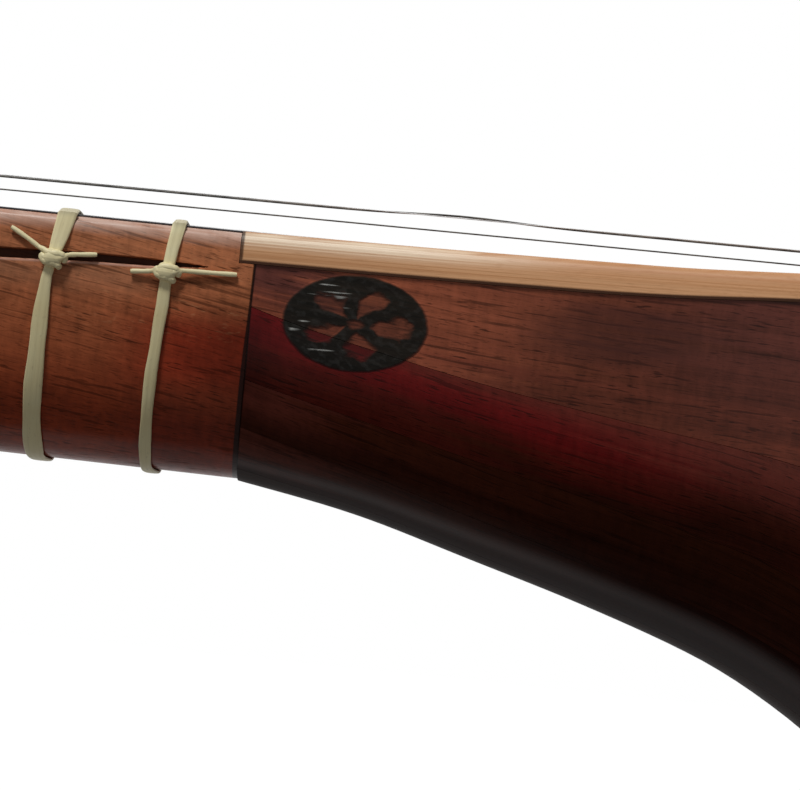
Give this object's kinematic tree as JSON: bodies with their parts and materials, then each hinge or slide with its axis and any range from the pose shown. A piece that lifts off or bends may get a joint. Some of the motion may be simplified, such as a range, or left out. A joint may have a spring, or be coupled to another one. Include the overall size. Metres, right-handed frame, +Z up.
{
  "type": "setar",
  "caption": "Long-necked plucked lute with a deep staved bowl, thick pale soundboard, tied sliding gut frets, friction pegs, loose bridge and string holder.",
  "frame": {"origin": "under the middle of the whole length and width, at the level of the bowl's lowest point", "axes": "+X from head to bowl along the neck, +Z up out of the soundboard, -Y towards the bass side with the side pegs and the fret knots"},
  "size_m": [0.84, 0.16, 0.174],
  "materials": {
    "neck_wood": "varnished walnut, satin",
    "facing": "thin dark facing, satin",
    "gut": "translucent ivory gut, satin",
    "board": "pale straight-grained wood, satin",
    "stave_brown": "varnished dark walnut",
    "stave_crimson": "varnished red hardwood",
    "stave_dark": "varnished near-black hardwood",
    "bone": "polished bone",
    "peg_wood": "turned hardwood, oiled",
    "inner_wood": "bare wood",
    "steel_string": "drawn wire",
    "bronze_string": "drawn wire"
  },
  "bodies": {
    "frame": {"neck": "neck_wood", "head": "neck_wood", "head_cap": "bone", "fingerboard": "facing", "nut": "bone", "soundboard": "board", "stave_1": "stave_brown", "stave_2": "stave_crimson", "stave_3": "stave_dark", "stave_4": "stave_brown", "stave_5": "stave_dark", "stave_6": "stave_brown", "stave_7": "stave_dark", "stave_8": "stave_crimson", "stave_9": "stave_brown", "neck_block": "inner_wood", "tail_block": "inner_wood", "tail_cap": "stave_dark", "string_holder": "bone", "string_bass": "bronze_string", "string_octave": "steel_string", "string_middle": "bronze_string", "string_treble": "steel_string"},
    "peg_middle": {"peg_middle": "peg_wood", "winding_middle": "bronze_string"},
    "peg_treble": {"peg_treble": "peg_wood", "winding_treble": "steel_string"},
    "peg_octave": {"peg_octave": "peg_wood", "winding_octave": "steel_string"},
    "peg_bass": {"peg_bass": "peg_wood", "winding_bass": "bronze_string"},
    "bridge": {"bridge": "peg_wood"},
    "fret_01": {"fret_01": "gut"},
    "fret_02": {"fret_02": "gut"},
    "fret_03": {"fret_03": "gut"},
    "fret_04": {"fret_04": "gut"},
    "fret_05": {"fret_05": "gut"},
    "fret_06": {"fret_06": "gut"},
    "fret_07": {"fret_07": "gut"},
    "fret_08": {"fret_08": "gut"},
    "fret_09": {"fret_09": "gut"},
    "fret_10": {"fret_10": "gut"},
    "fret_11": {"fret_11": "gut"},
    "fret_12": {"fret_12": "gut"},
    "fret_13": {"fret_13": "gut"},
    "fret_14": {"fret_14": "gut"},
    "fret_15": {"fret_15": "gut"},
    "fret_16": {"fret_16": "gut"},
    "fret_17": {"fret_17": "gut"},
    "fret_18": {"fret_18": "gut"},
    "fret_19": {"fret_19": "gut"},
    "fret_20": {"fret_20": "gut"},
    "fret_21": {"fret_21": "gut"},
    "fret_22": {"fret_22": "gut"},
    "fret_23": {"fret_23": "gut"},
    "fret_24": {"fret_24": "gut"},
    "fret_25": {"fret_25": "gut"}
  },
  "joints": [
    {"name": "peg_middle_turn", "type": "hinge", "parent": "frame", "child": "peg_middle", "pos_m": [-0.332, 0, 0.13554], "axis": [0, 0, 1], "continuous": true},
    {"name": "peg_treble_turn", "type": "hinge", "parent": "frame", "child": "peg_treble", "pos_m": [-0.38, 0, 0.13301], "axis": [0, 0, 1], "continuous": true},
    {"name": "peg_octave_turn", "type": "hinge", "parent": "frame", "child": "peg_octave", "pos_m": [-0.354, -0.0112, 0.1245], "axis": [0, -1, 0], "continuous": true},
    {"name": "peg_bass_turn", "type": "hinge", "parent": "frame", "child": "peg_bass", "pos_m": [-0.402, -0.0112, 0.1245], "axis": [0, -1, 0], "continuous": true},
    {"name": "bridge_shift", "type": "slide", "parent": "frame", "child": "bridge", "axis": [1, 0, 0], "range_m": [-0.002, 0.002]},
    {"name": "fret_01_shift", "type": "slide", "parent": "frame", "child": "fret_01", "axis": [1, 0, 0], "range_m": [-0.0024, 0.0024]},
    {"name": "fret_02_shift", "type": "slide", "parent": "frame", "child": "fret_02", "axis": [1, 0, 0], "range_m": [-0.0024, 0.0024]},
    {"name": "fret_03_shift", "type": "slide", "parent": "frame", "child": "fret_03", "axis": [1, 0, 0], "range_m": [-0.004, 0.004]},
    {"name": "fret_04_shift", "type": "slide", "parent": "frame", "child": "fret_04", "axis": [1, 0, 0], "range_m": [-0.0017, 0.0017]},
    {"name": "fret_05_shift", "type": "slide", "parent": "frame", "child": "fret_05", "axis": [1, 0, 0], "range_m": [-0.0017, 0.0017]},
    {"name": "fret_06_shift", "type": "slide", "parent": "frame", "child": "fret_06", "axis": [1, 0, 0], "range_m": [-0.004, 0.004]},
    {"name": "fret_07_shift", "type": "slide", "parent": "frame", "child": "fret_07", "axis": [1, 0, 0], "range_m": [-0.0033, 0.0033]},
    {"name": "fret_08_shift", "type": "slide", "parent": "frame", "child": "fret_08", "axis": [1, 0, 0], "range_m": [-0.0031, 0.0031]},
    {"name": "fret_09_shift", "type": "slide", "parent": "frame", "child": "fret_09", "axis": [1, 0, 0], "range_m": [-0.0031, 0.0031]},
    {"name": "fret_10_shift", "type": "slide", "parent": "frame", "child": "fret_10", "axis": [1, 0, 0], "range_m": [-0.0033, 0.0033]},
    {"name": "fret_11_shift", "type": "slide", "parent": "frame", "child": "fret_11", "axis": [1, 0, 0], "range_m": [-0.0012, 0.0012]},
    {"name": "fret_12_shift", "type": "slide", "parent": "frame", "child": "fret_12", "axis": [1, 0, 0], "range_m": [-0.0012, 0.0012]},
    {"name": "fret_13_shift", "type": "slide", "parent": "frame", "child": "fret_13", "axis": [1, 0, 0], "range_m": [-0.0029, 0.0029]},
    {"name": "fret_14_shift", "type": "slide", "parent": "frame", "child": "fret_14", "axis": [1, 0, 0], "range_m": [-0.0016, 0.0016]},
    {"name": "fret_15_shift", "type": "slide", "parent": "frame", "child": "fret_15", "axis": [1, 0, 0], "range_m": [-0.0016, 0.0016]},
    {"name": "fret_16_shift", "type": "slide", "parent": "frame", "child": "fret_16", "axis": [1, 0, 0], "range_m": [-0.0016, 0.0016]},
    {"name": "fret_17_shift", "type": "slide", "parent": "frame", "child": "fret_17", "axis": [1, 0, 0], "range_m": [-0.0018, 0.0018]},
    {"name": "fret_18_shift", "type": "slide", "parent": "frame", "child": "fret_18", "axis": [1, 0, 0], "range_m": [-0.0007, 0.0007]},
    {"name": "fret_19_shift", "type": "slide", "parent": "frame", "child": "fret_19", "axis": [1, 0, 0], "range_m": [-0.0007, 0.0007]},
    {"name": "fret_20_shift", "type": "slide", "parent": "frame", "child": "fret_20", "axis": [1, 0, 0], "range_m": [-0.0015, 0.0015]},
    {"name": "fret_21_shift", "type": "slide", "parent": "frame", "child": "fret_21", "axis": [1, 0, 0], "range_m": [-0.0006, 0.0006]},
    {"name": "fret_22_shift", "type": "slide", "parent": "frame", "child": "fret_22", "axis": [1, 0, 0], "range_m": [-0.0006, 0.0006]},
    {"name": "fret_23_shift", "type": "slide", "parent": "frame", "child": "fret_23", "axis": [1, 0, 0], "range_m": [-0.0012, 0.0012]},
    {"name": "fret_24_shift", "type": "slide", "parent": "frame", "child": "fret_24", "axis": [1, 0, 0], "range_m": [-0.0017, 0.0017]},
    {"name": "fret_25_shift", "type": "slide", "parent": "frame", "child": "fret_25", "axis": [1, 0, 0], "range_m": [-0.0018, 0.0018]}
  ]
}
